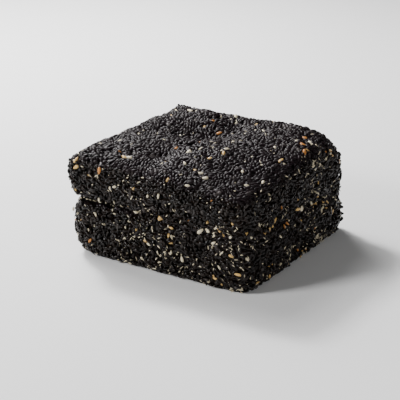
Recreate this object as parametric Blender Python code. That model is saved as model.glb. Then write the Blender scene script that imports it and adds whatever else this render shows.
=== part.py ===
"""Black sesame candy: two thick sheets pressed by hand from sesame seeds, one laid on the other.

Metres, +Z up. The block's longer side runs along X, and the middle of its flat base is the origin.
"""

import math
import random

import bmesh
import bpy
from mathutils import Matrix, Vector, noise

# Driving dimensions of the two sheets
SHEET_LENGTH = 0.0982
SHEET_WIDTH = 0.0962
TOTAL_HEIGHT = 0.0499
SEAM_HEIGHT = 0.0251
SEAM_SLOPE_X = -0.012
SEAM_SLOPE_Y = -0.062
SHEET_GAP = 0.0003
LOWER_SHIFT_X = 0.0013
LOWER_SHIFT_Y = 0.0007

# Rounded edges, and the bulge and waves of the side walls
TOP_EDGE = 0.0052
SEAM_EDGE = 0.0014
BASE_EDGE = 0.0022
WORN_CORNER_EXTRA = 0.0050
WORN_CORNER_REACH = 0.0120
SIDE_BULGE = 0.0013
WAVE_DEPTH = 0.0011
WAVE_SIZE = 0.021
LOWER_WAVE_PHASE = 3.0
UPPER_WAVE_PHASE = 7.0

# Plan radius of each corner: front left, front right, back right, back left
UPPER_CORNERS = (0.0060, 0.0062, 0.0062, 0.0055)
LOWER_CORNERS = (0.0085, 0.0080, 0.0080, 0.0080)

# Corner heights of the top above or below the total height, in the same order
TOP_CORNERS = (0.0003, -0.0046, 0.0028, 0.0012)

# Swells and hollows of the top: place, reach along X and Y, and height
TOP_FORMS = {
    "front mound": (0.015, -0.020, 0.024, 0.019, 0.0034),
    "right swell": (0.030, 0.024, 0.016, 0.018, 0.0016),
    "left swell": (-0.030, -0.025, 0.014, 0.014, 0.0010),
    "back lump": (-0.029, 0.032, 0.012, 0.010, 0.0010),
    "middle hollow": (-0.012, 0.015, 0.016, 0.011, -0.0052),
    "back valley": (-0.004, 0.030, 0.008, 0.009, -0.0026),
    "left valley": (-0.029, 0.008, 0.011, 0.007, -0.0022),
    "front valley": (-0.008, -0.027, 0.007, 0.017, -0.0020),
    "left edge dip": (-0.049, 0.034, 0.009, 0.007, -0.0010),
    "back corner peak": (-0.046, 0.046, 0.007, 0.007, 0.0014),
    "worn right corner": (0.051, 0.050, 0.014, 0.014, -0.0064),
    "worn right edge": (0.056, 0.045, 0.009, 0.013, -0.0078),
}

# The crunchy surface: mesh step, and the height and sideways scatter of the relief on it
MESH_STEP = 0.00268
RELIEF = 0.00052
RELIEF_JITTER = 0.00036
RELIEF_FADE = 0.0020

# One sesame seed
SEED_LENGTH = 0.0031
SEED_WIDTH = 0.0019
SEED_THICKNESS = 0.0012
SEED_SIDES = 5
SEED_RINGS = 4
SEED_POINT = 0.45
SEED_SUNK = 0.00012
SEED_TILT = 0.30

# Proud seeds on each sheet, and how clear they stay of one another and of the flat faces
UPPER_SEEDS = 58
LOWER_SEEDS = 34
SEED_SPACING = 0.0062
SEED_CLEARANCE = 0.0030
TRIES_PER_SEED = 60
UPPER_DRAW = 23
LOWER_DRAW = 11

# Distances below which points count as one, and faces as flat
MERGE_DISTANCE = 0.00002
FLAT_TOLERANCE = 0.000001

UPPER_COLOUR = (0.018, 0.016, 0.017, 1.0)
LOWER_COLOUR = (0.015, 0.014, 0.014, 1.0)
SESAME_ROUGHNESS = 0.42


def clear_scene():
    """Removes whatever is in the file."""
    for thing in list(bpy.data.objects):
        bpy.data.objects.remove(thing, do_unlink=True)


def make_material(name, colour):
    """A dark, slightly glossy sesame finish."""
    material = bpy.data.materials.new(name)
    material.use_nodes = True
    shader = material.node_tree.nodes["Principled BSDF"]
    shader.inputs["Base Color"].default_value = colour
    shader.inputs["Roughness"].default_value = SESAME_ROUGHNESS
    shader.inputs["Metallic"].default_value = 0.0
    return material


def seam_height(x, y):
    """Height of the joint between the sheets: the lower one thins towards the back."""
    return SEAM_HEIGHT + SEAM_SLOPE_X * x + SEAM_SLOPE_Y * y


def bell(x, y, form):
    """A smooth swell or hollow."""
    middle_x, middle_y, reach_x, reach_y, height = form
    spread = ((x - middle_x) / reach_x) ** 2 + ((y - middle_y) / reach_y) ** 2
    return height * math.exp(-spread)


def top_height(x, y):
    """Height of the pressed top of the upper sheet."""
    across = min(1.0, max(0.0, x / SHEET_LENGTH + 0.5))
    along = min(1.0, max(0.0, y / SHEET_WIDTH + 0.5))
    front_left, front_right, back_right, back_left = TOP_CORNERS
    front = front_left + (front_right - front_left) * across**2
    back = back_left + (back_right - back_left) * across
    tilt = front + (back - front) * along
    return TOTAL_HEIGHT + tilt + sum(bell(x, y, form) for form in TOP_FORMS.values())


def round_pair(first, second):
    """Bends the corner of a square that reaches from 0 to 1 on both axes into a quarter circle."""
    bent_first = first * math.sqrt(1.0 - second * second / 2.0)
    bent_second = second * math.sqrt(1.0 - first * first / 2.0)
    return bent_first, bent_second


def round_plan(x, y, corners):
    """Moves a point of the rectangular plan into the plan with rounded corners."""
    half_x = SHEET_LENGTH / 2.0
    half_y = SHEET_WIDTH / 2.0
    front_left, front_right, back_right, back_left = corners
    if y < 0.0:
        radius = front_left if x < 0.0 else front_right
    else:
        radius = back_left if x < 0.0 else back_right
    over_x = abs(x) - (half_x - radius)
    over_y = abs(y) - (half_y - radius)
    if over_x <= 0.0 or over_y <= 0.0:
        return x, y
    bent_x, bent_y = round_pair(over_x / radius, over_y / radius)
    new_x = math.copysign(half_x - radius + bent_x * radius, x)
    new_y = math.copysign(half_y - radius + bent_y * radius, y)
    return new_x, new_y


def roll_edge(inset, depth, radius):
    """Rolls the edge between a wall and a face: inset from the wall, depth below the face."""
    if inset >= radius or depth >= radius:
        return inset, depth
    bent_out, bent_up = round_pair(1.0 - inset / radius, 1.0 - depth / radius)
    return radius * (1.0 - bent_out), radius * (1.0 - bent_up)


def worn_share(x, y):
    """How worn the edge along the base is: 1 at the front left corner, fading to 0 away from it."""
    away = ((x + SHEET_LENGTH / 2.0) ** 2 + (y + SHEET_WIDTH / 2.0) ** 2) / WORN_CORNER_REACH**2
    return math.exp(-away)


def shape_point(point, thickness, top_radius, base_radius, corners):
    """Places one point of the flat box: returns its plan position and height share, from 0 to 1."""
    half_x = SHEET_LENGTH / 2.0
    half_y = SHEET_WIDTH / 2.0
    inset = min(half_x - abs(point.x), half_y - abs(point.y))
    rise = point.z
    if rise > thickness / 2.0:
        new_inset, depth = roll_edge(inset, thickness - rise, top_radius)
        rise = thickness - depth
    else:
        new_inset, rise = roll_edge(inset, rise, base_radius)
    x, y = round_plan(point.x, point.y, corners)
    pull = (new_inset - inset) / min(half_x, half_y)
    share = rise / thickness
    bulge = SIDE_BULGE * 4.0 * share * (1.0 - share) * (1.0 - min(1.0, inset / half_y))
    outward = Vector((x / half_x, y / half_y, 0.0))
    x += outward.x * (bulge - pull * half_x)
    y += outward.y * (bulge - pull * half_y)
    return x, y, share


def press_box(thickness, top_radius, base_radius, worn_extra, corners):
    """A box cut into squares of the mesh step, with rolled edges and heights as shares of the thickness."""
    mesh = bmesh.new()
    bmesh.ops.create_cube(mesh, size=1.0)
    sizes = (SHEET_LENGTH, SHEET_WIDTH, thickness)
    for axis in range(3):
        along = [e for e in mesh.edges if abs((e.verts[0].co - e.verts[1].co)[axis]) > 0.5]
        cuts = round(sizes[axis] / MESH_STEP) - 1
        bmesh.ops.subdivide_edges(mesh, edges=along, cuts=cuts, use_grid_fill=True)
    bmesh.ops.translate(mesh, verts=mesh.verts, vec=(0.0, 0.0, 0.5))
    bmesh.ops.scale(mesh, verts=mesh.verts, vec=sizes)
    for vertex in mesh.verts:
        point = vertex.co.copy()
        worn_radius = base_radius + worn_extra * worn_share(point.x, point.y)
        vertex.co = shape_point(point, thickness, top_radius, worn_radius, corners)
    mesh.normal_update()
    return mesh


def set_heights(mesh, base_height, upper_height):
    """Turns each point's height share into a height between two surfaces."""
    for vertex in mesh.verts:
        x, y, share = vertex.co
        low = base_height(x, y)
        vertex.co.z = low + (upper_height(x, y) - low) * share
    mesh.normal_update()


def simplify_flat_side(mesh, share):
    """Turns the flat side at height share 0 or 1 into one fan of triangles."""
    flat = [f for f in mesh.faces if all(abs(v.co.z - share) < FLAT_TOLERANCE for v in f.verts)]
    region = bmesh.ops.dissolve_faces(mesh, faces=flat)["region"]
    bmesh.ops.poke(mesh, faces=region)


def wave_walls(mesh, phase):
    """Makes the walls wander in and out, as hand-pressed ones do."""
    for vertex in mesh.verts:
        sideways = Vector((vertex.normal.x, vertex.normal.y, 0.0))
        place = Vector((vertex.co.x / WAVE_SIZE, vertex.co.y / WAVE_SIZE, vertex.co.z / WAVE_SIZE + phase))
        vertex.co += sideways * (WAVE_DEPTH * noise.noise(place))
    mesh.normal_update()


def raise_relief(mesh, clearance_of, draw):
    """Gives the faces that show a crunchy relief, faded out beside the flat faces."""
    moves = []
    for vertex in mesh.verts:
        fade = min(1.0, max(0.0, clearance_of(vertex.co)) / RELIEF_FADE)
        normal = vertex.normal.copy()
        jitter = Vector((draw.uniform(-1, 1), draw.uniform(-1, 1), draw.uniform(-1, 1)))
        jitter -= normal * jitter.dot(normal)
        height = draw.choice((-1.0, -0.5, 0.7, 1.0)) * draw.uniform(0.6, 1.0)
        moves.append(fade * (normal * height * RELIEF + jitter * RELIEF_JITTER))
    for vertex, move in zip(mesh.verts, moves):
        vertex.co += move
    mesh.normal_update()


def object_from(name, mesh, material):
    """Turns a bmesh into a named object of the scene."""
    data = bpy.data.meshes.new(name)
    bmesh.ops.triangulate(mesh, faces=mesh.faces)
    mesh.to_mesh(data)
    mesh.free()
    data.materials.append(material)
    thing = bpy.data.objects.new(name, data)
    bpy.context.scene.collection.objects.link(thing)
    return thing


def seed_mesh():
    """A flat teardrop seed with few sides, pointed towards +X."""
    mesh = bmesh.new()
    bmesh.ops.create_uvsphere(mesh, u_segments=SEED_SIDES, v_segments=SEED_RINGS, radius=0.5)
    bmesh.ops.rotate(mesh, verts=mesh.verts, matrix=Matrix.Rotation(math.pi / 2.0, 3, "Y"))
    for vertex in mesh.verts:
        narrow = 1.0 - SEED_POINT * (vertex.co.x + 0.5)
        vertex.co.y *= narrow
        vertex.co.z *= narrow
    middle = 1.0 - SEED_POINT / 2.0
    bmesh.ops.scale(mesh, verts=mesh.verts, vec=(SEED_LENGTH, SEED_WIDTH / middle, SEED_THICKNESS / middle))
    data = bpy.data.meshes.new("seed")
    mesh.to_mesh(data)
    mesh.free()
    return data


def spread_places(thing, count, clearance_of, draw):
    """Evenly spread points of a sheet's surface that keep clear of its flat faces, with their normals."""
    polygons = [p for p in thing.data.polygons if len(p.vertices) == 3]
    weights = [p.area for p in polygons]
    vertices = thing.data.vertices
    chosen = []
    for polygon in draw.choices(polygons, weights=weights, k=count * TRIES_PER_SEED):
        first, second, third = (vertices[i].co for i in polygon.vertices)
        place = (first + second + third) / 3.0
        if clearance_of(place) < SEED_CLEARANCE:
            continue
        if all((place - other).length > SEED_SPACING for other, _ in chosen):
            chosen.append((place, polygon.normal.copy()))
        if len(chosen) == count:
            break
    return chosen


def fuse_seeds(thing, data, places, draw):
    """Fuses proud seeds to a sheet with one union."""
    group = bpy.data.collections.new(thing.name + " seeds")
    bpy.context.scene.collection.children.link(group)
    for place, normal in places:
        turn = normal.to_track_quat("Z", "Y").to_matrix()
        spin = Matrix.Rotation(draw.uniform(0.0, math.tau), 3, "Z")
        tilt = Matrix.Rotation(draw.uniform(-SEED_TILT, SEED_TILT), 3, "Y")
        seed = bpy.data.objects.new("seed", data)
        centre = place - normal * SEED_SUNK
        seed.matrix_world = Matrix.Translation(centre) @ (turn @ spin @ tilt).to_4x4()
        group.objects.link(seed)
    union = thing.modifiers.new("fuse seeds", "BOOLEAN")
    union.operation = "UNION"
    union.operand_type = "COLLECTION"
    union.collection = group
    union.solver = "EXACT"
    bpy.context.view_layer.update()
    graph = bpy.context.evaluated_depsgraph_get()
    fused = bpy.data.meshes.new_from_object(thing.evaluated_get(graph))
    thing.modifiers.remove(union)
    thing.data = fused
    for seed in list(group.objects):
        bpy.data.objects.remove(seed, do_unlink=True)
    bpy.data.collections.remove(group)


def connected_points(start, left):
    """The points that hang together with one point; takes them out of the set of points left."""
    island = {start}
    waiting = [start]
    while waiting:
        point = waiting.pop()
        for edge in point.link_edges:
            other = edge.other_vert(point)
            if other in left:
                left.remove(other)
                island.add(other)
                waiting.append(other)
    return island


def tidy_solid(thing):
    """Drops loose scraps and merges the near-equal points that the union leaves."""
    mesh = bmesh.new()
    mesh.from_mesh(thing.data)
    left = set(mesh.verts)
    islands = []
    while left:
        islands.append(connected_points(left.pop(), left))
    islands.sort(key=len)
    for island in islands[:-1]:
        bmesh.ops.delete(mesh, geom=list(island), context="VERTS")
    bmesh.ops.remove_doubles(mesh, verts=mesh.verts, dist=MERGE_DISTANCE)
    bmesh.ops.dissolve_degenerate(mesh, edges=mesh.edges, dist=MERGE_DISTANCE)
    bmesh.ops.triangulate(mesh, faces=mesh.faces)
    mesh.to_mesh(thing.data)
    mesh.free()


def make_lower_sheet(material, seed):
    """The sheet that rests on the table: flat below, and flat where the upper one lies on it."""
    draw = random.Random(LOWER_DRAW)
    mesh = press_box(SEAM_HEIGHT, SEAM_EDGE, BASE_EDGE, WORN_CORNER_EXTRA, LOWER_CORNERS)
    simplify_flat_side(mesh, 0.0)
    simplify_flat_side(mesh, 1.0)
    bmesh.ops.translate(mesh, verts=mesh.verts, vec=(LOWER_SHIFT_X, LOWER_SHIFT_Y, 0.0))
    set_heights(mesh, lambda x, y: 0.0, seam_height)
    wave_walls(mesh, LOWER_WAVE_PHASE)

    def clearance(place):
        return min(place.z, seam_height(place.x, place.y) - place.z)

    raise_relief(mesh, clearance, draw)
    thing = object_from("lower_sheet", mesh, material)
    fuse_seeds(thing, seed, spread_places(thing, LOWER_SEEDS, clearance, draw), draw)
    tidy_solid(thing)
    return thing


def make_upper_sheet(material, seed):
    """The sheet on top, with an uneven pressed top."""
    draw = random.Random(UPPER_DRAW)
    thickness = TOTAL_HEIGHT - SEAM_HEIGHT
    mesh = press_box(thickness, TOP_EDGE, SEAM_EDGE, 0.0, UPPER_CORNERS)
    simplify_flat_side(mesh, 0.0)
    set_heights(mesh, lambda x, y: seam_height(x, y) + SHEET_GAP, top_height)
    wave_walls(mesh, UPPER_WAVE_PHASE)

    def clearance(place):
        return place.z - seam_height(place.x, place.y) - SHEET_GAP

    raise_relief(mesh, clearance, draw)
    thing = object_from("upper_sheet", mesh, material)
    fuse_seeds(thing, seed, spread_places(thing, UPPER_SEEDS, clearance, draw), draw)
    tidy_solid(thing)
    return thing


def centre_on_base(things):
    """Moves the meshes so that the middle of the block's base is the origin."""
    points = [vertex.co for thing in things for vertex in thing.data.vertices]
    lows = [min(point[axis] for point in points) for axis in range(3)]
    highs = [max(point[axis] for point in points) for axis in range(3)]
    middle = Vector(((lows[0] + highs[0]) / 2.0, (lows[1] + highs[1]) / 2.0, lows[2]))
    for thing in things:
        thing.data.transform(Matrix.Translation(-middle))


def main():
    clear_scene()
    seed = seed_mesh()
    lower = make_lower_sheet(make_material("lower sesame", LOWER_COLOUR), seed)
    upper = make_upper_sheet(make_material("upper sesame", UPPER_COLOUR), seed)
    centre_on_base((lower, upper))


main()
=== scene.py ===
"""Dresses a block of black sesame candy: two dark syrup cores under dense layers of whole seeds."""

import math

import bmesh
import bpy
import numpy as np
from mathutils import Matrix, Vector, noise
from mathutils.bvhtree import BVHTree
from mathutils.kdtree import KDTree


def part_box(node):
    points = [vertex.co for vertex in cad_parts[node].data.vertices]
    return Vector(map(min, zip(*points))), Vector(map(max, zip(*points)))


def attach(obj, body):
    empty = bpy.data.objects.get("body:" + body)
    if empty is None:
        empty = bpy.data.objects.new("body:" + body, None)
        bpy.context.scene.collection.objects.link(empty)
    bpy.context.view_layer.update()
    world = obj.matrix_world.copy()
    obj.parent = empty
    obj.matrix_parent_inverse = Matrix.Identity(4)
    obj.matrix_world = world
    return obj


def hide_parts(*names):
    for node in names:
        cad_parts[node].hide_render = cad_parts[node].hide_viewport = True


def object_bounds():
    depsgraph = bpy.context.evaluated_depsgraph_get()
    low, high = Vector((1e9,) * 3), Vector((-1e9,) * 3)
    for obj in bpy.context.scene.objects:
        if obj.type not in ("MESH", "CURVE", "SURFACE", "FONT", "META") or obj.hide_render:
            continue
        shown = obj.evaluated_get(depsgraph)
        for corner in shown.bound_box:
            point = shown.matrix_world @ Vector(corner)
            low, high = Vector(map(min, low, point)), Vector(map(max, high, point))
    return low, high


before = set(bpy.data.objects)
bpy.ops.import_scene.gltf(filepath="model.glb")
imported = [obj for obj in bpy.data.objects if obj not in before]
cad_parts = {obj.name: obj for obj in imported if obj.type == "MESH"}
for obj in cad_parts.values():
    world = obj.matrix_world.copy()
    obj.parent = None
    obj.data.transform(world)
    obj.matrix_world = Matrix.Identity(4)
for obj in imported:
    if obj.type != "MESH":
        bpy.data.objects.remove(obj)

bl_info = {
    "name": "Black sesame candy",
    "version": (1, 0, 0),
    "blender": (4, 5, 0),
    "location": "View3D > Sidebar > Sesame candy",
    "description": "Covers two pressed sheets of sesame candy with syrup and whole seeds",
    "category": "Object",
}

CAD_LOW, CAD_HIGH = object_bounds()
BODY = "root"
SHEETS = ("lower_sheet", "upper_sheet")
LOWER, UPPER = SHEETS

# Keeps a division from failing
TINY = 1e-15

# Height of a normal above which a place is on the top, and below which it is on the base
TOP_NORMAL = 0.60
BASE_NORMAL = -0.60

# Kinds of seed
BLACK, CREAM, TAN, ORANGE = range(4)
KIND_NAMES = {BLACK: "black", CREAM: "cream", TAN: "tan", ORANGE: "orange"}

# Added to the start of the draw, so that the sheets and the joint differ
SHEET_DRAWS = {LOWER: 141, UPPER: 150}
JOINT_DRAW = 50


class SeedShape(bpy.types.PropertyGroup):
    """Size and shape of one sesame seed."""

    length: bpy.props.FloatProperty(
        name="Length", description="Length of one seed", default=0.0034, min=0.001, unit="LENGTH"
    )
    width: bpy.props.FloatProperty(
        name="Width", description="Width of one seed", default=0.00175, min=0.0005, unit="LENGTH"
    )
    thickness: bpy.props.FloatProperty(
        name="Thickness", description="Thickness of one seed", default=0.00110, min=0.0003, unit="LENGTH"
    )
    point: bpy.props.FloatProperty(
        name="Point", description="How much a seed narrows towards its tip", default=0.46, min=0.0, max=0.9,
        subtype="FACTOR",
    )
    variation: bpy.props.FloatProperty(
        name="Variation", description="How much seeds differ in size", default=0.12, min=0.0, max=0.4,
        subtype="FACTOR",
    )


class SeedLayer(bpy.types.PropertyGroup):
    """How the seeds are packed on a sheet."""

    seed_area: bpy.props.FloatProperty(
        name="Area of a seed", description="Surface that each seed of the outer layer covers",
        default=4.1e-6, min=2e-6, unit="AREA",
    )
    wall_crowding: bpy.props.FloatProperty(
        name="Crowding on walls", description="How many more seeds the walls hold than the top",
        default=1.14, min=0.5, max=2.0, subtype="FACTOR",
    )
    top_lean: bpy.props.FloatProperty(
        name="Lean on top", description="How far the seeds of the top lean up, like shingles",
        default=math.radians(24.0), subtype="ANGLE",
    )
    top_tilt: bpy.props.FloatProperty(
        name="Tilt on top", description="How unevenly they lean", default=math.radians(12.0), subtype="ANGLE"
    )
    wall_tilt: bpy.props.FloatProperty(
        name="Tilt on walls", description="How far tips are lifted there",
        default=math.radians(24.0), subtype="ANGLE",
    )
    standing_share: bpy.props.FloatProperty(
        name="Standing seeds", description="Share of wall seeds that show an end", default=0.22,
        min=0.0, max=1.0, subtype="FACTOR",
    )
    lift: bpy.props.FloatProperty(
        name="Lift", description="How unevenly high the seeds sit", default=0.00030, unit="LENGTH"
    )
    lumps: bpy.props.FloatProperty(
        name="Lumps", description="How far clumps stand out of the walls", default=0.0009, unit="LENGTH"
    )
    sunk: bpy.props.FloatProperty(
        name="Sunk", description="Depth of the outer seeds' middles", default=0.00020, unit="LENGTH"
    )
    under_depth: bpy.props.FloatProperty(
        name="Second layer's depth", description="How deep the gaps are filled",
        default=0.00120, unit="LENGTH",
    )
    under_share: bpy.props.FloatProperty(
        name="Second layer", description="Its seeds for each outer seed", default=0.60,
        min=0.0, max=1.0, subtype="FACTOR",
    )
    rounds: bpy.props.IntProperty(
        name="Packing rounds", description="How often the seeds push each other apart", default=36, min=0
    )
    draw: bpy.props.IntProperty(name="Draw", description="Start of the random draw", default=7)


class PaleSeeds(bpy.types.PropertyGroup):
    """Share of pale seeds among the black ones."""

    top_share: bpy.props.FloatProperty(
        name="On top", description="Share of pale seeds on the top", default=0.011, subtype="FACTOR"
    )
    wall_share: bpy.props.FloatProperty(
        name="On walls", description="Share of pale seeds on the lower walls", default=0.045, subtype="FACTOR"
    )
    upper_wall_share: bpy.props.FloatProperty(
        name="On upper walls", description="Share of pale seeds there", default=0.032, subtype="FACTOR"
    )
    joint_gain: bpy.props.FloatProperty(
        name="Gain at the joint", description="How many more lie beside it", default=1.3, subtype="FACTOR"
    )
    base_gain: bpy.props.FloatProperty(
        name="Gain at the base", description="How many more lie along it", default=0.9, subtype="FACTOR"
    )
    size: bpy.props.FloatProperty(
        name="Size", description="Size of a pale seed beside a black one", default=0.74, subtype="FACTOR"
    )


class JointFill(bpy.types.PropertyGroup):
    """Seeds that bridge the joint between the sheets."""

    spacing: bpy.props.FloatProperty(
        name="Spacing", description="From one seed to the next", default=0.00062, min=0.0003, unit="LENGTH"
    )
    height: bpy.props.FloatProperty(
        name="Height", description="How far the seeds reach up and down",
        default=0.0021, min=0.0, unit="LENGTH",
    )
    depth: bpy.props.FloatProperty(
        name="Depth", description="How far behind the walls the deepest lie", default=0.0017,
        min=0.0, unit="LENGTH",
    )


class HullFlakesAndGlints(bpy.types.PropertyGroup):
    """Small pale flakes of hull between the seeds, many of them standing in as painted glints."""

    length: bpy.props.FloatProperty(
        name="Length", description="Length of one flake", default=0.00120, min=0.0002, unit="LENGTH"
    )
    wall_area: bpy.props.FloatProperty(
        name="Area on walls", description="Wall surface for each flake", default=10e-6, min=1e-6, unit="AREA"
    )
    top_area: bpy.props.FloatProperty(
        name="Area on top", description="Top surface for each flake", default=60e-6, min=1e-6, unit="AREA"
    )


class CandyColours(bpy.types.PropertyGroup):
    """Colours of the syrup and the seeds."""

    wall_black: bpy.props.FloatVectorProperty(
        name="Black on walls", description="Black seeds wet with syrup", default=(0.0034, 0.0026, 0.0022),
        subtype="COLOR", min=0.0, max=1.0,
    )
    wall_brown: bpy.props.FloatVectorProperty(
        name="Brown on walls", description="Black seeds with a brown cast", default=(0.0095, 0.0050, 0.0028),
        subtype="COLOR", min=0.0, max=1.0,
    )
    # Partly the drier top's own greyer tone, partly a painted purplish sheen: seeds of the top are coloured
    # lighter than the walls' as if lit from above
    top_black: bpy.props.FloatVectorProperty(
        name="Black on top", description="Black seeds of the dry top", default=(0.0064, 0.0038, 0.0046),
        subtype="COLOR", min=0.0, max=1.0,
    )
    worn: bpy.props.FloatVectorProperty(
        name="Worn", description="Black seeds with a scuffed hull", default=(0.085, 0.076, 0.070),
        subtype="COLOR", min=0.0, max=1.0,
    )
    cream: bpy.props.FloatVectorProperty(
        name="Cream", description="Hulled seeds", default=(0.88, 0.77, 0.54),
        subtype="COLOR", min=0.0, max=1.0,
    )
    tan: bpy.props.FloatVectorProperty(
        name="Tan", description="Lightly toasted seeds", default=(0.76, 0.48, 0.16),
        subtype="COLOR", min=0.0, max=1.0,
    )
    orange: bpy.props.FloatVectorProperty(
        name="Orange brown", description="Darkly toasted seeds", default=(0.60, 0.24, 0.05),
        subtype="COLOR", min=0.0, max=1.0,
    )
    syrup: bpy.props.FloatVectorProperty(
        name="Syrup", description="Set syrup between the seeds", default=(0.0040, 0.0028, 0.0020),
        subtype="COLOR", min=0.0, max=1.0,
    )


class StudioSetup(bpy.types.PropertyGroup):
    """Floor, lights and camera."""

    floor_colour: bpy.props.FloatVectorProperty(
        name="Floor", description="Plain pale floor", default=(0.78, 0.78, 0.78),
        subtype="COLOR", min=0.0, max=1.0,
    )
    sky: bpy.props.FloatProperty(name="Sky", description="Strength of the even light", default=0.10, min=0.0)
    key: bpy.props.FloatProperty(
        name="Key light", description="Large soft light", default=9.2, min=0.0, unit="POWER"
    )
    spark: bpy.props.FloatProperty(
        name="Spark light", description="Makes the seeds glint", default=8.5, min=0.0, unit="POWER"
    )
    front: bpy.props.FloatProperty(
        name="Front light", description="Lights the front wall", default=9.8, min=0.0, unit="POWER"
    )
    side: bpy.props.FloatProperty(
        name="Side light", description="Lights the right wall", default=2.0, min=0.0, unit="POWER"
    )
    around: bpy.props.FloatProperty(
        name="Around", description="How far the camera stands round to the right",
        default=math.radians(31.8), subtype="ANGLE",
    )
    above: bpy.props.FloatProperty(
        name="Above", description="How far the camera looks down", default=math.radians(20.5), subtype="ANGLE"
    )
    distance: bpy.props.FloatProperty(
        name="Distance", description="From the camera to the middle of the block", default=0.6, unit="LENGTH"
    )
    lens: bpy.props.FloatProperty(
        name="Lens", description="Focal length in millimetres", default=110.2, min=1.0, unit="CAMERA"
    )
    aim: bpy.props.FloatVectorProperty(
        name="Aim", description="How far left of and below the block's middle the camera aims",
        default=(0.00456, 0.00358), size=2, unit="LENGTH",
    )


class CandySettings(bpy.types.PropertyGroup):
    """All the settings of the candy."""

    seed: bpy.props.PointerProperty(type=SeedShape, name="Seed", description="One sesame seed")
    layer: bpy.props.PointerProperty(type=SeedLayer, name="Layer", description="Packing of the seeds")
    pale: bpy.props.PointerProperty(type=PaleSeeds, name="Pale seeds", description="Pale seeds")
    joint: bpy.props.PointerProperty(type=JointFill, name="Joint", description="Seeds that bridge the joint")
    flakes: bpy.props.PointerProperty(type=HullFlakesAndGlints, name="Flakes", description="Pale flakes of hull")
    colours: bpy.props.PointerProperty(type=CandyColours, name="Colours", description="Syrup and seeds")
    studio: bpy.props.PointerProperty(type=StudioSetup, name="Studio", description="Floor, lights and camera")


# The skin of a sheet, smoothed

WELD_DISTANCE = 0.00001
SKIN_STEP = 0.0012
SKIN_SMOOTHING = 5
SMOOTH_SHARE = 0.5


def add_object(name, data):
    """Puts a new object in the scene."""
    thing = bpy.data.objects.new(name, data)
    bpy.context.scene.collection.objects.link(thing)
    return thing


def smooth_skin(node):
    """A smoothed copy of a sheet's solid, evenly meshed, as a bmesh."""
    shape = bmesh.new()
    shape.from_mesh(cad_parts[node].data)
    bmesh.ops.remove_doubles(shape, verts=shape.verts, dist=WELD_DISTANCE)
    data = bpy.data.meshes.new("skin")
    shape.to_mesh(data)
    shape.free()
    carrier = add_object("skin", data)
    even = carrier.modifiers.new("even mesh", "REMESH")
    even.mode = "VOXEL"
    even.voxel_size = SKIN_STEP
    bpy.context.view_layer.update()
    graph = bpy.context.evaluated_depsgraph_get()
    remeshed = bpy.data.meshes.new_from_object(carrier.evaluated_get(graph))
    bpy.data.objects.remove(carrier, do_unlink=True)
    bpy.data.meshes.remove(data)
    skin = bmesh.new()
    skin.from_mesh(remeshed)
    bpy.data.meshes.remove(remeshed)
    return smoothed(skin, SKIN_SMOOTHING)


def smoothed(skin, rounds):
    """Smooths a bmesh a number of times."""
    for _ in range(rounds):
        bmesh.ops.smooth_vert(
            skin, verts=skin.verts, factor=SMOOTH_SHARE, use_axis_x=True, use_axis_y=True, use_axis_z=True
        )
    skin.normal_update()
    return skin


def add_piece(name, data, material, node=None):
    """Puts a mesh in the scene as a piece that rides with the block, in place of a node if one is given."""
    data.materials.append(material)
    data.shade_smooth()
    piece = add_object(name, data)
    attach(piece, BODY)
    if node:
        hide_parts(node)


# The surface that seeds are strewn on

# Width of the seeded rim at the joint, and the rises over which the top and the base set in
JOINT_RIM = 0.0055
TOP_RISES = (0.25, 0.85)
BASE_RISES = (0.5, 0.9)


def kept_faces(skin, node):
    """The skin's triangles that show, without the middle of the face that lies on the other sheet."""
    low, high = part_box(node)
    joint_side = 1.0 if node == LOWER else -1.0
    corners = []
    for face in skin.faces:
        middle = face.calc_center_median()
        inset_x = min(middle.x - low.x, high.x - middle.x)
        inset_y = min(middle.y - low.y, high.y - middle.y)
        if face.normal.z * joint_side > TOP_NORMAL and min(inset_x, inset_y) > JOINT_RIM:
            continue
        points = [vertex.co for vertex in face.verts]
        for k in range(1, len(points) - 1):
            corners.append((points[0][:], points[k][:], points[k + 1][:]))
    return np.array(corners)


def sizes_and_rises(corners):
    """Areas of triangles, and the heights of their normals."""
    turned = np.cross(corners[:, 1] - corners[:, 0], corners[:, 2] - corners[:, 0])
    doubled = np.maximum(np.linalg.norm(turned, axis=1), TINY)
    return doubled / 2.0, turned[:, 2] / doubled


def spread_points(corners, weights, count, rng):
    """Random points on triangles, as many on each as its weight asks."""
    chosen = rng.choice(len(weights), size=count, p=weights / weights.sum())
    a = np.sqrt(rng.random(count))[:, None]
    b = rng.random(count)[:, None]
    first, second, third = corners[chosen, 0], corners[chosen, 1], corners[chosen, 2]
    return first * (1.0 - a) + second * a * (1.0 - b) + third * a * b


def smooth_step(values, low, high):
    """0 below low, 1 above high, and a smooth rise between them."""
    share = np.clip((values - low) / (high - low), 0.0, 1.0)
    return share * share * (3.0 - 2.0 * share)


def top_share(rises):
    """How much a place belongs to the top, from the height of its normal."""
    return smooth_step(rises, *TOP_RISES)


def flat_share(rises):
    """How much a place belongs to the top or the base."""
    return np.maximum(top_share(rises), smooth_step(-rises, *BASE_RISES))


def crowding(rises, layer):
    """How much closer together the seeds lie than on the top."""
    return 1.0 + (layer.wall_crowding - 1.0) * (1.0 - flat_share(rises))


def on_skin(tree, places):
    """Moves points to the nearest place on the skin, and gives the normals there."""
    found = [tree.find_nearest(place) for place in places.tolist()]
    return np.array([hit[0][:] for hit in found]), np.array([hit[1][:] for hit in found])


def noise_at(places, size, offset=0.0):
    """Smooth noise at some places, with bumps of about one size."""
    return np.array([noise.noise((x / size, y / size, z / size + offset)) for x, y, z in places.tolist()])


# Directions of the seeds

SWIRL_SIZE = 0.016
SWIRL_TURN = 7.0
SWIRL_OFFSET = 4.0
FLAT_NORMAL = 0.8


def unit(vectors):
    """Vectors brought to length 1."""
    lengths = np.linalg.norm(vectors, axis=1, keepdims=True)
    return vectors / np.maximum(lengths, TINY)


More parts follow.
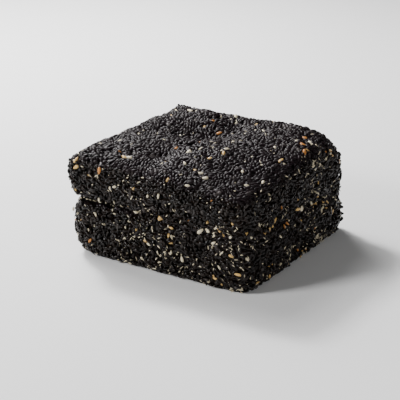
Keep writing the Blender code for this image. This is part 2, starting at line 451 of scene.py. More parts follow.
def laid_flat(vectors, normals):
    """Unit vectors square to the normals."""
    return unit(vectors - normals * (vectors * normals).sum(1)[:, None])


def swirl_directions(places, normals, scatter, rng):
    """Directions along the skin that turn slowly from place to place, with some scatter."""
    angles = noise_at(places, SWIRL_SIZE, SWIRL_OFFSET) * SWIRL_TURN
    angles += rng.normal(0.0, 1.0, len(places)) * scatter
    helper = np.where(np.abs(normals[:, 2:3]) > FLAT_NORMAL, [[1.0, 0.0, 0.0]], [[0.0, 0.0, 1.0]])
    first = unit(np.cross(helper, normals))
    second = np.cross(normals, first)
    return first * np.cos(angles)[:, None] + second * np.sin(angles)[:, None]


def tilted_axes(normals, along, pitch, roll):
    """Axes of seeds that lift their tips by one angle and roll on their long axis by another."""
    across = np.cross(normals, along)
    cos_pitch, sin_pitch = np.cos(pitch)[:, None], np.sin(pitch)[:, None]
    cos_roll, sin_roll = np.cos(roll)[:, None], np.sin(roll)[:, None]
    long_axes = along * cos_pitch + normals * sin_pitch
    lifted = normals * cos_pitch - along * sin_pitch
    up_axes = lifted * cos_roll + across * sin_roll
    side_axes = np.cross(up_axes, long_axes)
    return long_axes, side_axes, up_axes


def loose_axes(places, normals, scatter, tilt, rng):
    """Axes of seeds that lie loosely, in scattered directions and at random tilts."""
    along = swirl_directions(places, normals, scatter, rng)
    pitch = rng.normal(0.0, tilt, len(places))
    roll = rng.normal(0.0, tilt, len(places))
    return tilted_axes(normals, along, pitch, roll)


# Packing the seeds

NEIGHBOUR_REACH = 0.0036
LIST_ROUNDS = 6

# Room that a packed seed takes up, beside its length times its width
PACKED_ROOM = 0.88

# How strongly seeds push, the least gap and spacing that count, and the longest move in a round
PUSH_SHARE = 0.42
LEAST_GAP = 1e-7
LEAST_SPACING = 0.15
LONGEST_MOVE = 0.0006


def near_pairs(places):
    """Pairs of seeds that are close enough to touch."""
    tree = KDTree(len(places))
    for index, place in enumerate(places.tolist()):
        tree.insert(place, index)
    tree.balance()
    first, second = [], []
    for index, place in enumerate(places.tolist()):
        for _, other, _ in tree.find_range(place, NEIGHBOUR_REACH):
            if other > index:
                first.append(index)
                second.append(other)
    return np.array(first), np.array(second)


def spacing_along(gap, along, across, normal, long_size, short_size):
    """How far apart two seeds are, in seed sizes, seen along one seed's own axes."""
    long_part = (gap * along).sum(1) / long_size
    short_part = (gap * across).sum(1) / short_size
    normal_part = (gap * normal).sum(1) / short_size
    return np.sqrt(long_part**2 + short_part**2 + normal_part**2)


def pack_seeds(tree, places, along, layer, seed):
    """Lets the seeds push each other apart along the skin until they lie side by side."""
    places, normals = on_skin(tree, places)
    room = layer.seed_area / crowding(normals[:, 2], layer)
    fit = np.sqrt(room / (PACKED_ROOM * seed.length * seed.width))
    long_sizes, short_sizes = seed.length * fit, seed.width * fit
    for step in range(layer.rounds):
        along = laid_flat(along, normals)
        across = np.cross(normals, along)
        if step % LIST_ROUNDS == 0:
            first, second = near_pairs(places)
        gap = places[second] - places[first]
        distance = np.maximum(np.linalg.norm(gap, axis=1), LEAST_GAP)
        near, far = (
            spacing_along(gap, along[end], across[end], normals[end], long_sizes[end], short_sizes[end])
            for end in (first, second)
        )
        spacing = (near + far) / 2.0
        overlap = np.maximum(0.0, 1.0 - spacing)
        strength = overlap * distance / np.maximum(spacing, LEAST_SPACING) * PUSH_SHARE
        push = gap / distance[:, None] * strength[:, None]
        for axis in range(3):
            moves = np.bincount(second, push[:, axis], len(places))
            moves -= np.bincount(first, push[:, axis], len(places))
            places[:, axis] += np.clip(moves, -LONGEST_MOVE, LONGEST_MOVE)
        places, normals = on_skin(tree, places)
    return places, normals, laid_flat(along, normals)


# Meshes of many seeds

REST_CLEARANCE = 0.00004

# Sides and rings of a seed's mesh
OUTER_MESH = (6, 5)
UNDER_MESH = (5, 4)
FLAKE_MESH = (5, 3)

# Least and most size of a seed, and how much its length, width and thickness differ
SIZE_LIMITS = (0.7, 1.3)
OUTER_VARIATION = (0.7, 0.8, 1.0)


def seed_template(seed, sides, rings):
    """One seed, a flat teardrop pointed towards +X, as points and faces."""
    shape = bmesh.new()
    bmesh.ops.create_uvsphere(shape, u_segments=sides, v_segments=rings, radius=0.5)
    turned = [(vertex.co.z, vertex.co.y, -vertex.co.x) for vertex in shape.verts]
    middle = 1.0 - seed.point / 2.0
    for vertex, (x, y, z) in zip(shape.verts, turned):
        narrow = (1.0 - seed.point * (x + 0.5)) / middle
        vertex.co = (x * seed.length, y * narrow * seed.width, z * narrow * seed.thickness)
    bmesh.ops.recalc_face_normals(shape, faces=shape.faces)
    shape.verts.index_update()
    points = np.array([vertex.co[:] for vertex in shape.verts])
    # The sphere's faces come in an order that changes from run to run, so they are sorted
    faces = sorted([vertex.index for vertex in face.verts] for face in shape.faces)
    shape.free()
    return points, faces


def seed_scales(count, seed, rng, shares=(1.0, 1.0, 1.0)):
    """Sizes of seeds along their three axes."""
    return np.clip(1.0 + rng.normal(0.0, 1.0, (count, 3)) * seed.variation * shares, *SIZE_LIMITS)


def joined_seeds(name, template, places, axes, scales, attributes):
    """One mesh of many seeds, each with its own place, axes, scale and attribute values."""
    points, faces = template
    count = len(places)
    long_axes, side_axes, up_axes = axes
    placed = places[:, None, :] + (
        points[None, :, 0, None] * scales[:, None, 0:1] * long_axes[:, None, :]
        + points[None, :, 1, None] * scales[:, None, 1:2] * side_axes[:, None, :]
        + points[None, :, 2, None] * scales[:, None, 2:3] * up_axes[:, None, :]
    )
    placed[:, :, 2] = np.maximum(placed[:, :, 2], CAD_LOW.z + REST_CLEARANCE)
    corners = np.concatenate([np.array(face) for face in faces])
    totals = np.array([len(face) for face in faces])
    loops = (corners[None, :] + (np.arange(count) * len(points))[:, None]).ravel()
    all_totals = np.tile(totals, count)
    starts = np.concatenate([[0], np.cumsum(all_totals)[:-1]])
    data = bpy.data.meshes.new(name)
    data.vertices.add(count * len(points))
    data.vertices.foreach_set("co", placed.ravel())
    data.loops.add(len(loops))
    data.loops.foreach_set("vertex_index", loops)
    data.polygons.add(len(all_totals))
    data.polygons.foreach_set("loop_start", starts)
    data.polygons.foreach_set("loop_total", all_totals)
    data.update(calc_edges=True)
    for label, values in attributes.items():
        layer = data.attributes.new(label, "FLOAT", "POINT")
        layer.data.foreach_set("value", np.repeat(values, len(points)).astype(np.float32))
    return data


class Batch:
    """Places, axes, sizes and looks of a number of seeds."""

    def __init__(self, places, axes, scales, looks):
        self.places, self.axes, self.scales, self.looks = places, axes, scales, looks

    def make_piece(self, name, template, material, chosen=None):
        """Makes one piece of all seeds or the chosen ones, or nothing where none is chosen."""
        if chosen is None:
            chosen = np.ones(len(self.places), dtype=bool)
        if not chosen.any():
            return
        axes = tuple(axis[chosen] for axis in self.axes)
        looks = {label: values[chosen] for label, values in self.looks.items()}
        data = joined_seeds(name, template, self.places[chosen], axes, self.scales[chosen], looks)
        add_piece(name, data, material)


# Clumps of seeds, and how the seeds differ in colour

CLUMP_SIZES = (0.005, 0.012)
CLUMP_OFFSET = 9.0
DEEPEST_PIT = -0.55
CLUMP_LOSS = 0.75

SHADE_CURVE = (1.3, 3.2)
BROWN_PATCH = 0.012
BROWN_LEVEL = 0.3
BROWN_DRIFT = 0.7
BROWN_SCATTER = 0.3


def clumps(places, flatness, layer):
    """How far clumps of seeds stand out at each place: more on the walls than on the top."""
    heights = np.zeros(len(places))
    for size in CLUMP_SIZES:
        heights += noise_at(places, size, CLUMP_OFFSET)
    return np.maximum(heights, DEEPEST_PIT) * layer.lumps * (1.0 - CLUMP_LOSS * flatness)


def seed_looks(places, topness, rng):
    """How light each seed is, how brown, and how much it belongs to the top."""
    count = len(places)
    browns = BROWN_LEVEL + BROWN_DRIFT * noise_at(places, BROWN_PATCH)
    return {
        "shade": rng.beta(*SHADE_CURVE, count),
        "brown": np.clip(browns + rng.normal(0.0, BROWN_SCATTER, count), 0.0, 1.0),
        "topness": topness,
    }


# Materials

# Roughness, specular level, coat and coat roughness of each finish
FINISH_SOCKETS = ("Roughness", "Specular IOR Level", "Coat Weight", "Coat Roughness")
WET_FINISH = (0.26, 0.02, 0.38, 0.06)
DRY_FINISH = (0.38, 0.045, 0.17, 0.08)
PALE_FINISH = (0.42, 0.4, 0.15, 0.15)
SYRUP_FINISH = (0.30, 0.3, 0.25, 0.08)
PAPER_FINISH = (0.9, 0.3, 0.0, 0.5)
WARM_SHEEN = (1.0, 0.88, 0.86, 1.0)

# Scale, strength and distance of each grain
BLACK_GRAIN = (2600.0, 0.25, 0.0001)
PALE_GRAIN = (1700.0, 0.3, 0.0001)
SYRUP_GRAIN = (900.0, 0.5, 0.0003)
GRAIN_DETAIL = 3.0

# Brightness beside the plain colour; the top's far larger range is a painted sheen of the light that falls on
# the top
LIGHTEST_WALL, LIGHTEST_TOP_WITH_SHEEN = 1.2, 2.6
PALE_SPECKS, PALE_DARKER, PALE_LIGHTER = 0.6, 0.72, 1.12
SYRUP_DARKER, SYRUP_LIGHTER = 0.5, 1.6

# What darkens the black seeds, all over and in specks
SHADOW = (0.45, 0.45, 0.45)
BLACK_SPECKS = (0.62, 0.60, 0.64)

# Shade from which a black seed starts to show wear
WORN_FROM = 0.60


def new_material(name, finish):
    """A material with one finish, its node tree and its shader."""
    material = bpy.data.materials.new(name)
    material.use_nodes = True
    tree = material.node_tree
    shader = tree.nodes["Principled BSDF"]
    for socket, value in zip(FINISH_SOCKETS, finish):
        shader.inputs[socket].default_value = value
    shader.inputs["Specular Tint"].default_value = WARM_SHEEN
    return material, tree, shader


def add_node(tree, kind, **values):
    """A node with some of its inputs set by name."""
    node = tree.nodes.new(kind)
    for label, value in values.items():
        node.inputs[label.replace("_", " ")].default_value = value
    return node


def attribute_node(tree, label):
    """The value of a named attribute."""
    node = tree.nodes.new("ShaderNodeAttribute")
    node.attribute_name = label
    return node.outputs["Fac"]


def colour_mix(tree, share, first, second, blend="MIX"):
    """A mix of two colours, each a socket or a value."""
    node = tree.nodes.new("ShaderNodeMix")
    node.data_type = "RGBA"
    node.blend_type = blend
    for socket, value in ((node.inputs[0], share), (node.inputs[6], first), (node.inputs[7], second)):
        if isinstance(value, bpy.types.NodeSocket):
            tree.links.new(value, socket)
        else:
            socket.default_value = (*value, 1.0)
    return node.outputs[2]


def grain_bump(tree, shader, scale, strength, distance):
    """A fine bump from noise in the object's own coordinates."""
    place = tree.nodes.new("ShaderNodeTexCoord")
    grain = add_node(tree, "ShaderNodeTexNoise", Scale=scale, Detail=GRAIN_DETAIL)
    tree.links.new(place.outputs["Object"], grain.inputs["Vector"])
    bump = add_node(tree, "ShaderNodeBump", Strength=strength, Distance=distance)
    tree.links.new(grain.outputs["Fac"], bump.inputs["Height"])
    tree.links.new(bump.outputs["Normal"], shader.inputs["Normal"])
    return grain.outputs["Fac"]


def brightened(colour, factor):
    """A colour made brighter or darker."""
    return tuple(min(1.0, part * factor) for part in colour)


def black_seed_material(name, colours, finish):
    """Black seeds: each a little lighter or browner than the next, and a few worn; those of the top carry a
    painted sheen.
    """
    material, tree, shader = new_material(name, finish)
    grain = grain_bump(tree, shader, *BLACK_GRAIN)
    shade = attribute_node(tree, "shade")
    topness = attribute_node(tree, "topness")
    wall = colour_mix(tree, attribute_node(tree, "brown"), colours.wall_black, colours.wall_brown)
    # Painted sheen: the top's seeds mix to a lighter, purplish black than the walls', as if lit from above,
    # beside their drier tone
    cast = colour_mix(tree, topness, wall, colours.top_black)
    wall_lightest = brightened(colours.wall_brown, LIGHTEST_WALL)
    top_lightest_with_sheen = brightened(colours.top_black, LIGHTEST_TOP_WITH_SHEEN)
    lightest = colour_mix(tree, topness, wall_lightest, top_lightest_with_sheen)
    body = colour_mix(tree, shade, cast, SHADOW, "MULTIPLY")
    lighter = colour_mix(tree, shade, body, lightest)
    wear = add_node(tree, "ShaderNodeMapRange", From_Min=WORN_FROM, From_Max=1.0)
    tree.links.new(shade, wear.inputs["Value"])
    worn = colour_mix(tree, wear.outputs["Result"], lighter, colours.worn)
    mottled = colour_mix(tree, grain, worn, BLACK_SPECKS, "MULTIPLY")
    tree.links.new(mottled, shader.inputs["Base Color"])
    return material


def pale_seed_material(name, colour):
    """Pale seeds, mottled and a little darker at random."""
    material, tree, shader = new_material(name, PALE_FINISH)
    grain = grain_bump(tree, shader, *PALE_GRAIN)
    shade = attribute_node(tree, "shade")
    body = colour_mix(tree, shade, brightened(colour, PALE_DARKER), brightened(colour, PALE_LIGHTER))
    mottled = colour_mix(tree, grain, brightened(colour, PALE_SPECKS), body)
    tree.links.new(mottled, shader.inputs["Base Color"])
    return material


def syrup_material(name, colour):
    """Dark set syrup between the seeds."""
    material, tree, shader = new_material(name, SYRUP_FINISH)
    grain = grain_bump(tree, shader, *SYRUP_GRAIN)
    mixed = colour_mix(tree, grain, brightened(colour, SYRUP_DARKER), brightened(colour, SYRUP_LIGHTER))
    tree.links.new(mixed, shader.inputs["Base Color"])
    return material


def shared_material(name, make, *values):
    """A material by name, made the first time that it is asked for."""
    return bpy.data.materials.get(name) or make(name, *values)


def seed_material(kind, colours, dry=False):
    """The material of one kind of seed, wet with syrup or dry."""
    name = KIND_NAMES[kind]
    if kind != BLACK:
        return shared_material(name + "_seed", pale_seed_material, getattr(colours, name))
    prefix, finish = ("dry_", DRY_FINISH) if dry else ("wet_", WET_FINISH)
    return shared_material(prefix + name + "_seed", black_seed_material, colours, finish)


# The joint between the sheets

# A face of the upper sheet that looks down this squarely lies on the joint
JOINT_NORMAL = -0.99

# Stretches of the joint that stay open: middle and reach
OPEN_STRETCHES = (
    ((-0.034, -0.050), 0.015),
    ((-0.052, 0.012), 0.010),
    ((0.020, 0.052), 0.013),
    ((0.052, 0.022), 0.006),
)

# Chance of a bridging seed in an open stretch and elsewhere, and the chance below which a place is open
OPEN_FILL = 0.08
CLOSED_FILL = 0.92
OPEN_BELOW = 0.5

# How far the mouth of an open stretch reaches up and down, and the share of the seeds that it loses
OPEN_HEIGHT = 0.0021
OPEN_LOSS = 0.92

# How far from the joint and the base pale seeds and flakes gather
JOINT_REACH = 0.0035
BASE_REACH = 0.006

# Bridging seeds: least depth, how far from the joint the walls are probed, and the share of each kind
LEAST_DEPTH = 0.0003
PROBE_HEIGHT = 0.0036
BRIDGE_KINDS = (BLACK, CREAM, TAN)
BRIDGE_SHARES = (0.88, 0.07, 0.05)


def joint_height():
    """A function that gives the height of the joint between the sheets at any place."""
    lowest = max(
        (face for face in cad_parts[UPPER].data.polygons if face.normal.z < JOINT_NORMAL),
        key=lambda face: face.area,
    )
    middle, normal = lowest.center.copy(), lowest.normal.copy()
    return lambda x, y: middle.z - (normal.x * (x - middle.x) + normal.y * (y - middle.y)) / normal.z


def above_joint(places):
    """How high some places lie above the joint."""
    return places[:, 2] - joint_height()(places[:, 0], places[:, 1])


def rim_places(spacing):
    """Evenly spaced places around the block's plan."""
    half_x, half_y = CAD_HIGH.x, CAD_HIGH.y
    steps_x, steps_y = int(2.0 * half_x / spacing), int(2.0 * half_y / spacing)
    across = ((np.arange(steps_x) + 0.5) / steps_x * 2.0 - 1.0) * half_x
    along = ((np.arange(steps_y) + 0.5) / steps_y * 2.0 - 1.0) * half_y
    for side in (-half_y, half_y):
        for x in across:
            yield x, side
    for side in (-half_x, half_x):
        for y in along:
            yield side, y


def fill_chance(x, y):
    """How likely a seed bridges the joint at a place."""
    nearest = min(math.dist((x, y), middle) / reach for middle, reach in OPEN_STRETCHES)
    return OPEN_FILL + (CLOSED_FILL - OPEN_FILL) * min(1.0, max(0.0, nearest * 2.0 - 1.0))


def clear_of_opening(places, rng):
    """Which seeds stay: those in the mouth of an open stretch of the joint mostly go."""
    chances = np.array([fill_chance(x, y) for x, y, _ in places.tolist()])
    in_mouth = (np.abs(above_joint(places)) < OPEN_HEIGHT) & (chances < OPEN_BELOW)
    return ~(in_mouth & (rng.random(len(places)) < OPEN_LOSS))


def nearness(places):
    """How high places lie above the joint, and how near they are to the joint and the base."""
    above = above_joint(places)
    beside_joint = np.exp(-((above / JOINT_REACH) ** 2))
    along_base = np.exp(-(((places[:, 2] - CAD_LOW.z) / BASE_REACH) ** 2))
    return above, beside_joint, along_base


def bridge_places(joint, rng):
    """Places and normals of the seeds that bridge the joint, just behind the walls."""
    height_at = joint_height()
    skins = [smooth_skin(node) for node in SHEETS]
    lower, upper = [BVHTree.FromBMesh(skin) for skin in skins]
    for skin in skins:
        skin.free()
    places, normals = [], []
    for x, y in rim_places(joint.spacing):
        if rng.random() > fill_chance(x, y):
            continue
        outward = Vector((x, y, 0.0)).normalized()
        level = height_at(x, y)
        below = lower.ray_cast(Vector((0.0, 0.0, level - PROBE_HEIGHT)), outward)
        above = upper.ray_cast(Vector((0.0, 0.0, level + PROBE_HEIGHT)), outward)
        if below[0] is None or above[0] is None:
            raise RuntimeError("The joint's walls were not found")
        place = outward * (min(below[3], above[3]) - rng.uniform(LEAST_DEPTH, joint.depth))
        place.z = level + rng.uniform(-joint.height, joint.height)
        facing = below[1] if below[3] < above[3] else above[1]
        places.append(place[:])
        normals.append(Vector((facing.x, facing.y, 0.0)).normalized()[:])
    return np.array(places), np.array(normals)


def lay_bridge(settings):
    """Makes the seeds that bridge the joint, one piece for each kind."""
    rng = np.random.default_rng(settings.layer.draw + JOINT_DRAW)
    places, normals = bridge_places(settings.joint, rng)
    count = len(places)
    axes = loose_axes(places, normals, LOOSE_SCATTER, LOOSE_TILT, rng)
    scales = seed_scales(count, settings.seed, rng)
    batch = Batch(places, axes, scales, seed_looks(places, np.zeros(count), rng))
    kinds = rng.choice(BRIDGE_KINDS, count, p=BRIDGE_SHARES)
    template = seed_template(settings.seed, *OUTER_MESH)
    for kind in BRIDGE_KINDS:
        material = seed_material(kind, settings.colours)
        batch.make_piece("joint_" + KIND_NAMES[kind] + "_seeds", template, material, kinds == kind)


# Pale seeds among the black ones

PALE_SHARES = (0.60, 0.29, 0.11)

# Places where pale seeds gather: place, reach and added share
PALE_PATCHES = (
    ((-0.040, -0.049, 0.018), 0.008, 0.17),
    ((0.046, 0.026, 0.048), 0.010, 0.12),
    ((0.044, -0.020, 0.046), 0.012, 0.05),
    ((-0.020, 0.042, 0.050), 0.020, 0.03),
)

# Large pale seeds that stand out: kind and place
LARGE_PALE_SEEDS = (
    (TAN, (-0.0445, -0.0480, 0.0470)),
    (TAN, (-0.0430, -0.0495, 0.0455)),
    (ORANGE, (-0.0300, -0.0490, 0.0465)),
    (CREAM, (-0.0210, -0.0370, 0.0505)),
    (TAN, (-0.0235, -0.0390, 0.0500)),
    (CREAM, (0.0010, -0.0215, 0.0525)),
    (CREAM, (0.0215, -0.0395, 0.0485)),
    (CREAM, (0.0135, -0.0075, 0.0520)),
    (TAN, (0.0175, -0.0140, 0.0515)),
    (CREAM, (-0.0355, 0.0375, 0.0510)),
    (CREAM, (-0.0105, 0.0425, 0.0505)),
    (ORANGE, (-0.0080, 0.0230, 0.0475)),
    (TAN, (0.0405, -0.0035, 0.0500)),
    (ORANGE, (0.0405, 0.0190, 0.0515)),
    (ORANGE, (0.0455, 0.0130, 0.0500)),
    (CREAM, (0.0155, -0.0485, 0.0110)),
    (TAN, (0.0455, -0.0485, 0.0100)),
)
FOUND_WITHIN = 0.004


def pale_chance(places, topness, pale):
    """How likely a seed is to be pale: more so beside the joint, along the base and in some patches."""
    above, beside_joint, along_base = nearness(places)
    plain = np.where(above < 0.0, pale.wall_share, pale.upper_wall_share)
    wall = plain * (1.0 + pale.joint_gain * beside_joint + pale.base_gain * along_base)
    chance = wall * (1.0 - topness) + pale.top_share * topness
    for spot, reach, added in PALE_PATCHES:
        gap = np.linalg.norm(places - spot, axis=1)
        chance = chance + added * np.exp(-((gap / reach) ** 2))
    return chance


def choose_kinds(places, topness, settings, rng):
    """The kind of each seed, and which seeds are the large pale ones."""
    count = len(places)
    chance = pale_chance(places, topness, settings.pale)
    drawn = rng.choice((CREAM, TAN, ORANGE), count, p=PALE_SHARES)
    kinds = np.where(rng.random(count) < chance, drawn, BLACK)
    large = np.zeros(count, dtype=bool)
    for kind, spot in LARGE_PALE_SEEDS:
        gap = np.linalg.norm(places - spot, axis=1)
        nearest = int(gap.argmin())
        if gap[nearest] < FOUND_WITHIN:
            kinds[nearest] = kind
            large[nearest] = True
    return kinds, large


# The seeds of one sheet

# Scatter of the directions on the top, and what the walls add
TOP_SCATTER = 0.35
WALL_SCATTER = 1.1

# How ragged the edge between the dry top, with its painted sheen, and the wet walls is
EDGE_BLUR = 0.06

# Tilts of the large pale and the standing seeds, and how much a seed rolls beside its tilt
LARGE_TILT = 0.05
STANDING_TILTS = (0.6, 1.35)
ROLL_SHARE = 0.8

# How evenly the top's seeds lie, and how much of a tilted seed's reach sinks in
TOP_EVENNESS = 0.6
SUNK_REACH = 0.62
LARGE_DEPTH = -0.0002

# The seeds of the top overlap like shingles that face this way
SHINGLE_SIDE = (0.53, -0.85, 0.0)


def outer_places(tree, surface, settings, rng):
    """Places, normals and directions of one sheet's outer seeds, packed and clear of the open joint."""
    weights = surface[1]
    count = int(weights.sum() / settings.layer.seed_area)
    places, normals = on_skin(tree, spread_points(*surface, count, rng))
    loose = 1.0 - top_share(normals[:, 2])
    along = swirl_directions(places, normals, TOP_SCATTER + WALL_SCATTER * loose, rng)
    places, normals, along = pack_seeds(tree, places, along, settings.layer, settings.seed)
    kept = clear_of_opening(places, rng)
    return places[kept], normals[kept], along[kept]


def outer_tilts(flatness, large, layer, rng):
    """How far each outer seed lifts its tip, and how far it rolls."""
    count = len(flatness)
    spread = layer.top_tilt * flatness + layer.wall_tilt * (1.0 - flatness)
    spread = np.where(large, LARGE_TILT, spread)
    pitch = rng.normal(0.0, 1.0, count) * spread
    standing = (rng.random(count) < layer.standing_share * (1.0 - flatness)) & ~large
    upright = rng.uniform(*STANDING_TILTS, count) * rng.choice((-1.0, 1.0), count)
    roll = rng.normal(0.0, 1.0, count) * spread * ROLL_SHARE
    return np.where(standing, upright, pitch), roll


def outer_depths(places, normals, long_axes, large, settings, rng):
    """How deep the middles of the outer seeds lie below the skin."""
    layer = settings.layer
    flatness = flat_share(normals[:, 2])
    reach = np.abs((long_axes * normals).sum(1)) * settings.seed.length * 0.5
    uneven = rng.normal(0.0, 1.0, len(places)) * layer.lift * (1.0 - TOP_EVENNESS * flatness)
    uneven += clumps(places, flatness, layer)
    return np.where(large, LARGE_DEPTH, layer.sunk + reach * SUNK_REACH - uneven)


def make_outer_pieces(prefix, batch, normals, kinds, settings):
    """One piece for the black seeds of each side, and one for each kind of pale seed."""
    template = seed_template(settings.seed, *OUTER_MESH)
    base = normals[:, 2] < BASE_NORMAL
    top = normals[:, 2] > TOP_NORMAL
    for label, side in (("top_seeds", top), ("wall_seeds", ~top & ~base), ("base_seeds", base)):
        material = seed_material(BLACK, settings.colours, dry=label == "top_seeds")
        batch.make_piece(prefix + label, template, material, (kinds == BLACK) & side)
    for kind in (CREAM, TAN, ORANGE):
        material = seed_material(kind, settings.colours)
        batch.make_piece(prefix + KIND_NAMES[kind] + "_seeds", template, material, kinds == kind)


def lay_seeds(node, settings):
    """Packs one sheet's seeds and makes one piece for each kind of seed."""
    layer = settings.layer
    rng = np.random.default_rng(layer.draw + SHEET_DRAWS[node])
    skin = smooth_skin(node)
    tree = BVHTree.FromBMesh(skin)
    corners = kept_faces(skin, node)
    skin.free()
    areas, rises = sizes_and_rises(corners)
    surface = corners, areas * crowding(rises, layer)
    places, normals, along = outer_places(tree, surface, settings, rng)
    count = len(places)
    topness = top_share(normals[:, 2] + rng.normal(0.0, EDGE_BLUR, count))
    kinds, large = choose_kinds(places, topness, settings, rng)
    tilts = outer_tilts(flat_share(normals[:, 2]), large, layer, rng)
    leaning = unit(normals + np.array(SHINGLE_SIDE) * math.tan(layer.top_lean) * topness[:, None])
    axes = tilted_axes(leaning, laid_flat(along, leaning), *tilts)
    places = places - normals * outer_depths(places, normals, axes[0], large, settings, rng)[:, None]
    scales = seed_scales(count, settings.seed, rng, OUTER_VARIATION)
    scales[(kinds != BLACK) & ~large] *= settings.pale.size
    batch = Batch(places, axes, scales, seed_looks(places, topness, rng))
    prefix = node.split("_")[0] + "_"
    make_outer_pieces(prefix, batch, normals, kinds, settings)
    fill_gaps(prefix, tree, surface, int(count * layer.under_share), settings, rng)
    scatter_flakes(prefix, tree, (corners, areas, rises), settings, rng)


# The second layer and the flakes

UNDER_SCATTER = 2.0
UNDER_TILT = 0.30
UNDER_UNEVEN = 0.0001

# Scatter and tilt of flakes and bridging seeds
LOOSE_SCATTER = 3.0
LOOSE_TILT = 0.5

# Flakes below and above the joint, and what the joint and the base add
FLAKES_BELOW, FLAKES_ABOVE = 0.9, 0.55
FLAKES_AT_JOINT, FLAKES_AT_BASE = 0.8, 0.7

# Patches of flakes: size, level, gain and limits
PATCH_SIZE = 0.011
PATCH_LEVEL = 0.6
PATCH_GAIN = 1.7
PATCH_LIMITS = (0.1, 2.4)

# Heights of the flakes, and their least and most length, width and thickness
FLAKE_HEIGHTS = (-0.0002, 0.0004)
SMALLEST_FLAKE = (0.6, 0.5, 0.5)
LARGEST_FLAKE = (2.0, 1.2, 0.9)


def fill_gaps(prefix, tree, surface, count, settings, rng):
    """A second, deeper layer of seeds that shows between the outer ones."""
    layer = settings.layer
    places, normals = on_skin(tree, spread_points(*surface, count, rng))
    axes = loose_axes(places, normals, UNDER_SCATTER, UNDER_TILT, rng)
    raised = clumps(places, flat_share(normals[:, 2]), layer)
    depths = layer.under_depth - raised + rng.normal(0.0, UNDER_UNEVEN, count)
    places = places - normals * depths[:, None]
    scales = seed_scales(count, settings.seed, rng)
    batch = Batch(places, axes, scales, seed_looks(places, top_share(normals[:, 2]), rng))
    material = seed_material(BLACK, settings.colours)
    batch.make_piece(prefix + "under_seeds", seed_template(settings.seed, *UNDER_MESH), material)


def flake_density(corners):
    """How thick the flakes lie: most in patches, beside the joint and along the base."""
    middles = corners.mean(axis=1)
    above, beside_joint, along_base = nearness(middles)
    level = np.where(above < 0.0, FLAKES_BELOW, FLAKES_ABOVE)
    level = level + FLAKES_AT_JOINT * beside_joint + FLAKES_AT_BASE * along_base
    return np.clip(PATCH_LEVEL + PATCH_GAIN * noise_at(middles, PATCH_SIZE), *PATCH_LIMITS) * level


def scatter_flakes(prefix, tree, surface, settings, rng):
    """Small pale flakes of hull caught between the seeds, which also serve as painted glints of light on the
    walls.
    """
    flakes = settings.flakes
    corners, areas, rises = surface
    share = top_share(rises)
    weights = areas * ((1.0 - share) / flakes.wall_area + share / flakes.top_area) * flake_density(corners)
    count = int(weights.sum())
    places, normals = on_skin(tree, spread_points(corners, weights, count, rng))
    axes = loose_axes(places, normals, LOOSE_SCATTER, LOOSE_TILT, rng)
    raised = clumps(places, flat_share(normals[:, 2]), settings.layer)
    places = places + normals * (raised + rng.uniform(*FLAKE_HEIGHTS, count))[:, None]
    scales = rng.uniform(SMALLEST_FLAKE, LARGEST_FLAKE, (count, 3)) * flakes.length / settings.seed.length
    batch = Batch(places, axes, scales, seed_looks(places, top_share(normals[:, 2]), rng))
    # Painted glints: many of these cream flakes stand for small white highlights on the wet seeds, beside
    # real bits of hull
    material = seed_material(CREAM, settings.colours)
    batch.make_piece(prefix + "pale_flakes", seed_template(settings.seed, *FLAKE_MESH), material)


# The stage

FLOOR_REACH = 3.0

# Lights: name, place, size and the setting that holds the power
LIGHTS = (
    ("key_light", (-0.52, 0.24, 0.56), 0.50, "key"),
    ("spark_light", (-0.52, 0.24, 0.56), 0.12, "spark"),
    ("front_light", (-0.50, -0.70, 0.50), 0.22, "front"),
    ("side_light", (0.78, -0.34, 0.36), 0.20, "side"),
)
WHITE = (1.0, 1.0, 1.0, 1.0)

# Height that the camera turns round
TARGET_HEIGHT = 0.025


def add_floor(colour):
    """A wide plain floor."""
    shape = bmesh.new()
    bmesh.ops.create_grid(shape, x_segments=2, y_segments=2, size=FLOOR_REACH)
    data = bpy.data.meshes.new("floor")
    shape.to_mesh(data)
    shape.free()
    material, _, shader = new_material("floor_paper", PAPER_FINISH)
    shader.inputs["Base Color"].default_value = (*colour, 1.0)
    data.materials.append(material)
    add_object("floor", data)


def add_light(name, place, size, power):
    """A soft square light aimed at the middle of the block."""
    lamp = bpy.data.lights.new(name, "AREA")
    lamp.size = size
    lamp.energy = power
    light = add_object(name, lamp)
    light.location = place
    middle = Vector((0.0, 0.0, (CAD_LOW.z + CAD_HIGH.z) / 2.0))
    light.rotation_euler = (middle - Vector(place)).to_track_quat("-Z", "Y").to_euler()


def add_sky(strength):
    """Even white light from all round."""
    world = bpy.data.worlds.new("studio_sky")
    world.use_nodes = True
    sky = world.node_tree.nodes["Background"]
    sky.inputs["Color"].default_value = WHITE
    sky.inputs["Strength"].default_value = strength
    bpy.context.scene.world = world


def add_camera(studio):
    """The camera, at the photo's viewing angle."""
    around, above = studio.around, studio.above
    back = Vector((math.sin(around) * math.cos(above), -math.cos(around) * math.cos(above), math.sin(above)))
    right = Vector((math.cos(around), math.sin(around), 0.0))
    up = back.cross(right)
    target = Vector((0.0, 0.0, TARGET_HEIGHT))
    lens = bpy.data.cameras.new("camera")
    lens.lens = studio.lens
    camera = add_object("camera", lens)
    camera.location = target + back * studio.distance
    aim = target - right * studio.aim[0] - up * studio.aim[1]
    camera.rotation_euler = (aim - camera.location).to_track_quat("-Z", "Y").to_euler()
    bpy.context.scene.camera = camera


# Operators

CORE_DEPTH = 0.0021
CORE_ROUNDS = 3


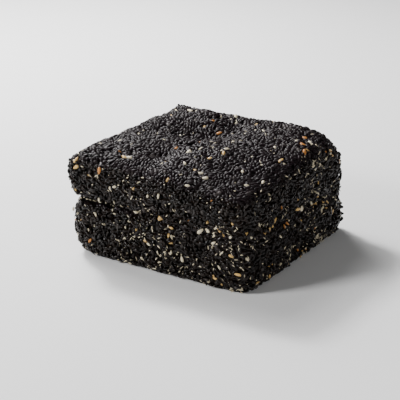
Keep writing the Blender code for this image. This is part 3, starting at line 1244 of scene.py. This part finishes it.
class SESAME_OT_syrup_cores(bpy.types.Operator):
    """Make the two dark syrup cores that the seeds are stuck to"""

    bl_idname = "sesame.syrup_cores"
    bl_label = "Syrup cores"

    def execute(self, context):
        colours = context.scene.sesame_candy.colours
        material = shared_material("dark_syrup", syrup_material, colours.syrup)
        for node in SHEETS:
            skin = smooth_skin(node)
            for _ in range(CORE_ROUNDS):
                for vertex in skin.verts:
                    vertex.co -= vertex.normal * CORE_DEPTH / CORE_ROUNDS
                smoothed(skin, 1)
            data = bpy.data.meshes.new(node + "_syrup")
            skin.to_mesh(data)
            skin.free()
            add_piece(node + "_syrup", data, material, node)
        return {"FINISHED"}


class SESAME_OT_sheet_seeds(bpy.types.Operator):
    """Cover both sheets with seeds"""

    bl_idname = "sesame.sheet_seeds"
    bl_label = "Sheet seeds"

    def execute(self, context):
        for node in SHEETS:
            lay_seeds(node, context.scene.sesame_candy)
        return {"FINISHED"}


class SESAME_OT_joint_seeds(bpy.types.Operator):
    """Bridge the joint between the sheets with seeds, except where it stays open"""

    bl_idname = "sesame.joint_seeds"
    bl_label = "Joint seeds"

    def execute(self, context):
        lay_bridge(context.scene.sesame_candy)
        return {"FINISHED"}


class SESAME_OT_studio(bpy.types.Operator):
    """Set up the pale floor, the soft lights and the camera"""

    bl_idname = "sesame.studio"
    bl_label = "Studio"

    def execute(self, context):
        studio = context.scene.sesame_candy.studio
        add_floor(studio.floor_colour)
        for name, place, size, power in LIGHTS:
            add_light(name, place, size, getattr(studio, power))
        add_sky(studio.sky)
        add_camera(studio)
        return {"FINISHED"}


def own_properties(group):
    """The properties of a group that its class names."""
    return [prop for prop in group.bl_rna.properties if prop.identifier not in ("rna_type", "name")]


class SESAME_PT_candy(bpy.types.Panel):
    """Lists the settings of the candy and the steps that dress it"""

    bl_label = "Sesame candy"
    bl_idname = "SESAME_PT_candy"
    bl_space_type = "VIEW_3D"
    bl_region_type = "UI"
    bl_category = "Sesame candy"

    def draw(self, context):
        settings = context.scene.sesame_candy
        for part in own_properties(settings):
            box = self.layout.box()
            box.label(text=part.name)
            group = getattr(settings, part.identifier)
            for setting in own_properties(group):
                box.prop(group, setting.identifier)
        for step in STEPS:
            self.layout.operator(step.bl_idname)


STEPS = (
    SESAME_OT_syrup_cores,
    SESAME_OT_sheet_seeds,
    SESAME_OT_joint_seeds,
    SESAME_OT_studio,
)
GROUPS = (SeedShape, SeedLayer, PaleSeeds, JointFill, HullFlakesAndGlints, CandyColours, StudioSetup, CandySettings)
CLASSES = (*GROUPS, *STEPS, SESAME_PT_candy)


def register():
    for kind in CLASSES:
        bpy.utils.register_class(kind)
    bpy.types.Scene.sesame_candy = bpy.props.PointerProperty(
        type=CandySettings, name="Sesame candy", description="Settings of the sesame candy"
    )


def unregister():
    del bpy.types.Scene.sesame_candy
    for kind in reversed(CLASSES):
        bpy.utils.unregister_class(kind)


def main():
    register()
    bpy.ops.sesame.syrup_cores()
    bpy.ops.sesame.sheet_seeds()
    bpy.ops.sesame.joint_seeds()
    bpy.ops.sesame.studio()


if __name__ == "__main__":
    main()
